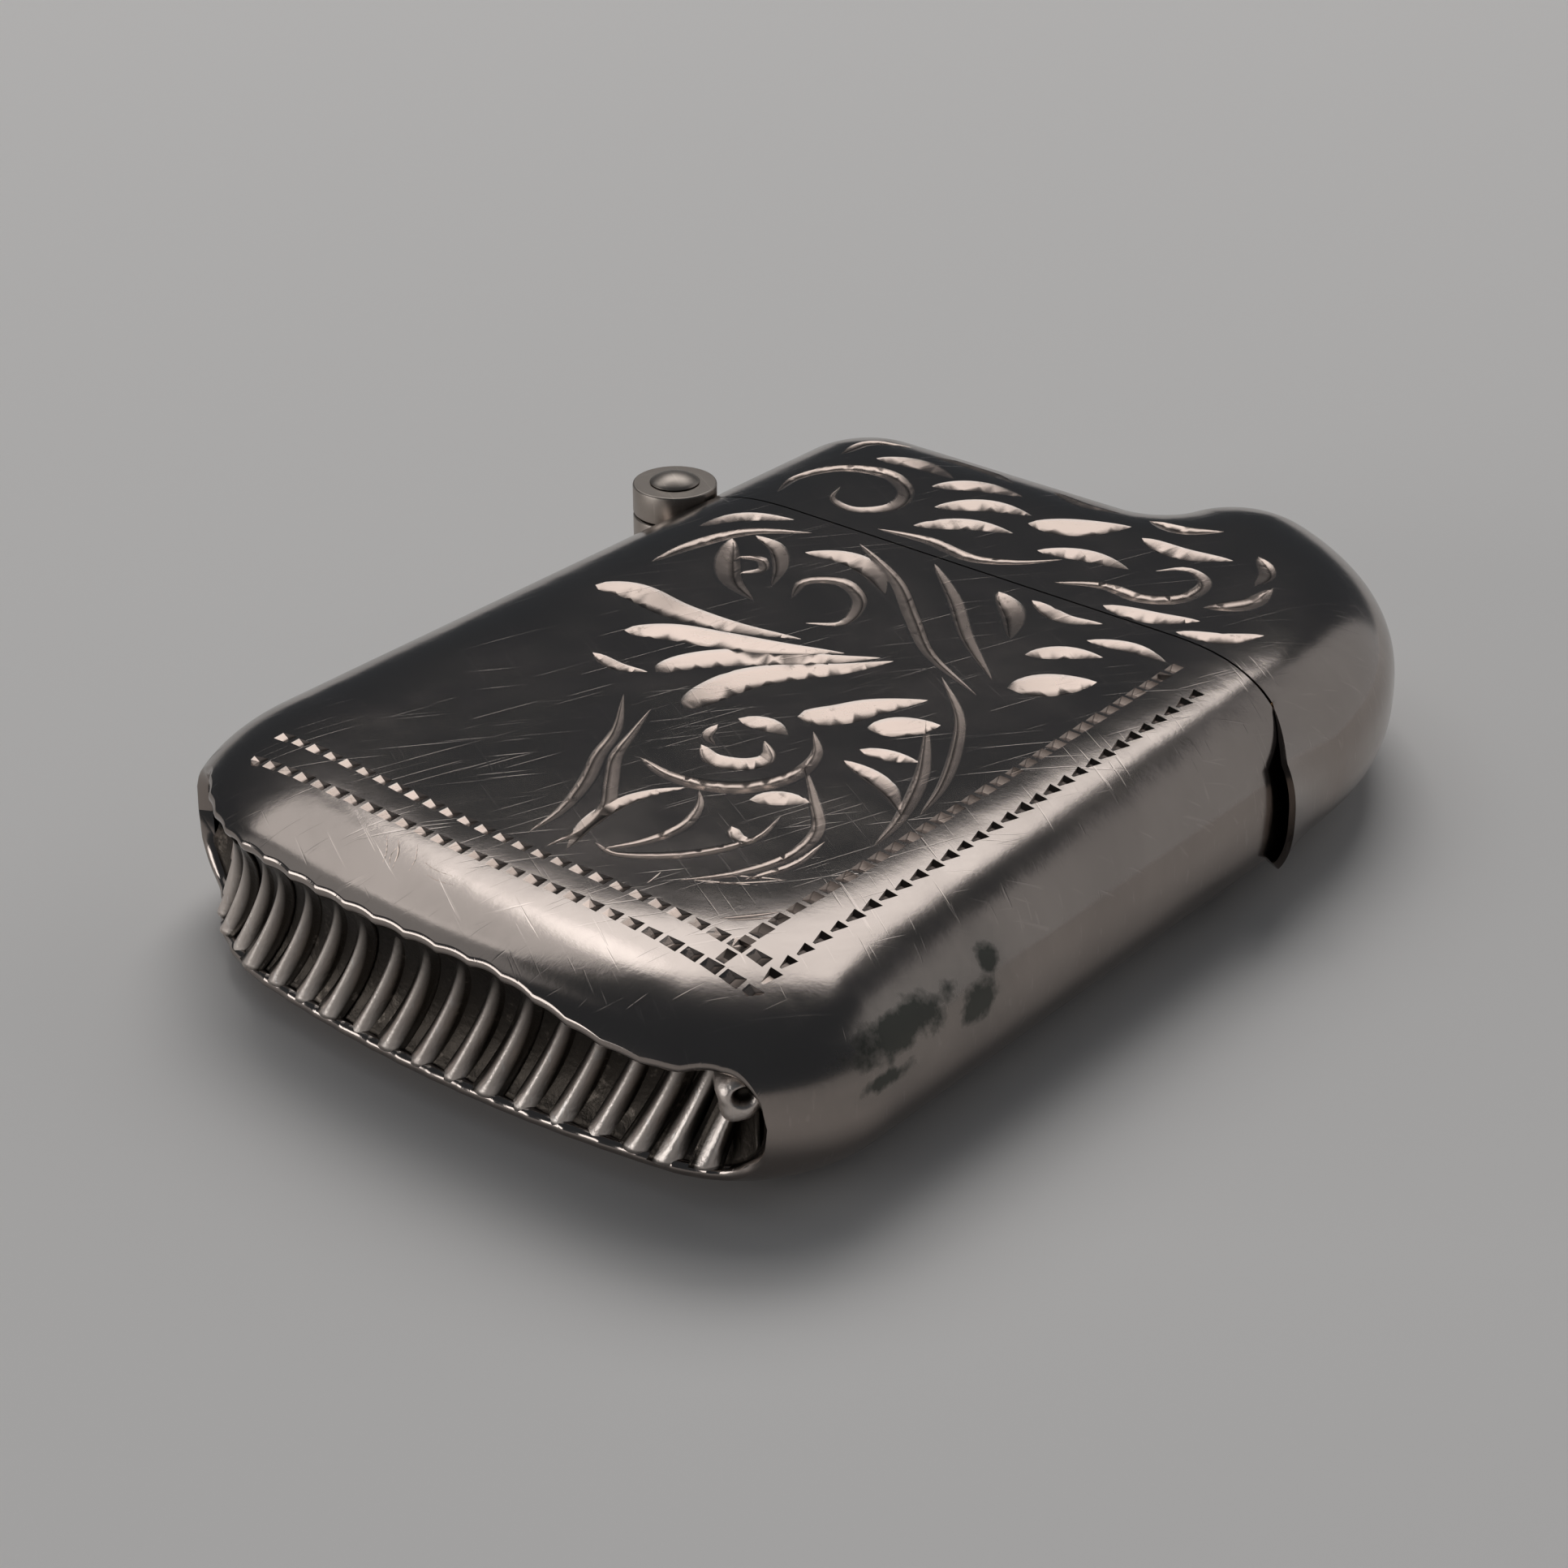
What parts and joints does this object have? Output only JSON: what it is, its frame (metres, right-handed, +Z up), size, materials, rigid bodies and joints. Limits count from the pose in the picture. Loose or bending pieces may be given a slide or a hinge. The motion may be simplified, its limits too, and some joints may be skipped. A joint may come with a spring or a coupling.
{
  "type": "vesta case",
  "caption": "Flat pocket match case with full-round edges, a side-hinged lid with a thumb lobe and lip, and a hollow ribbed striker let into its bowed end.",
  "frame": {"origin": "middle of the body's flat back, on which the case lies", "axes": "+X across the case from the hinge to the thumb lip, +Y from the striker end to the lid, +Z up out of the engraved front"},
  "size_m": [0.0382, 0.0531, 0.0085],
  "materials": {
    "silver": "worn, tarnished silver with a satin polish",
    "gilt": "thin gilt wash, satin"
  },
  "bodies": {
    "case": {"body_front": "silver", "body_back": "silver", "striker": "silver", "mouth_collar": "gilt", "body_knuckle_front": "silver", "body_knuckle_middle": "silver", "body_knuckle_back": "silver", "hinge_pin": "silver"},
    "lid": {"lid_front": "silver", "lid_back": "silver", "lid_knuckle_front": "silver", "lid_knuckle_back": "silver", "thumb_lip": "silver"}
  },
  "joints": [
    {"name": "lid_hinge", "type": "hinge", "parent": "case", "child": "lid", "pos_m": [-0.0177, 0.01845, 0.00425], "axis": [0, 0, 1], "range_deg": [0, 110]}
  ]
}
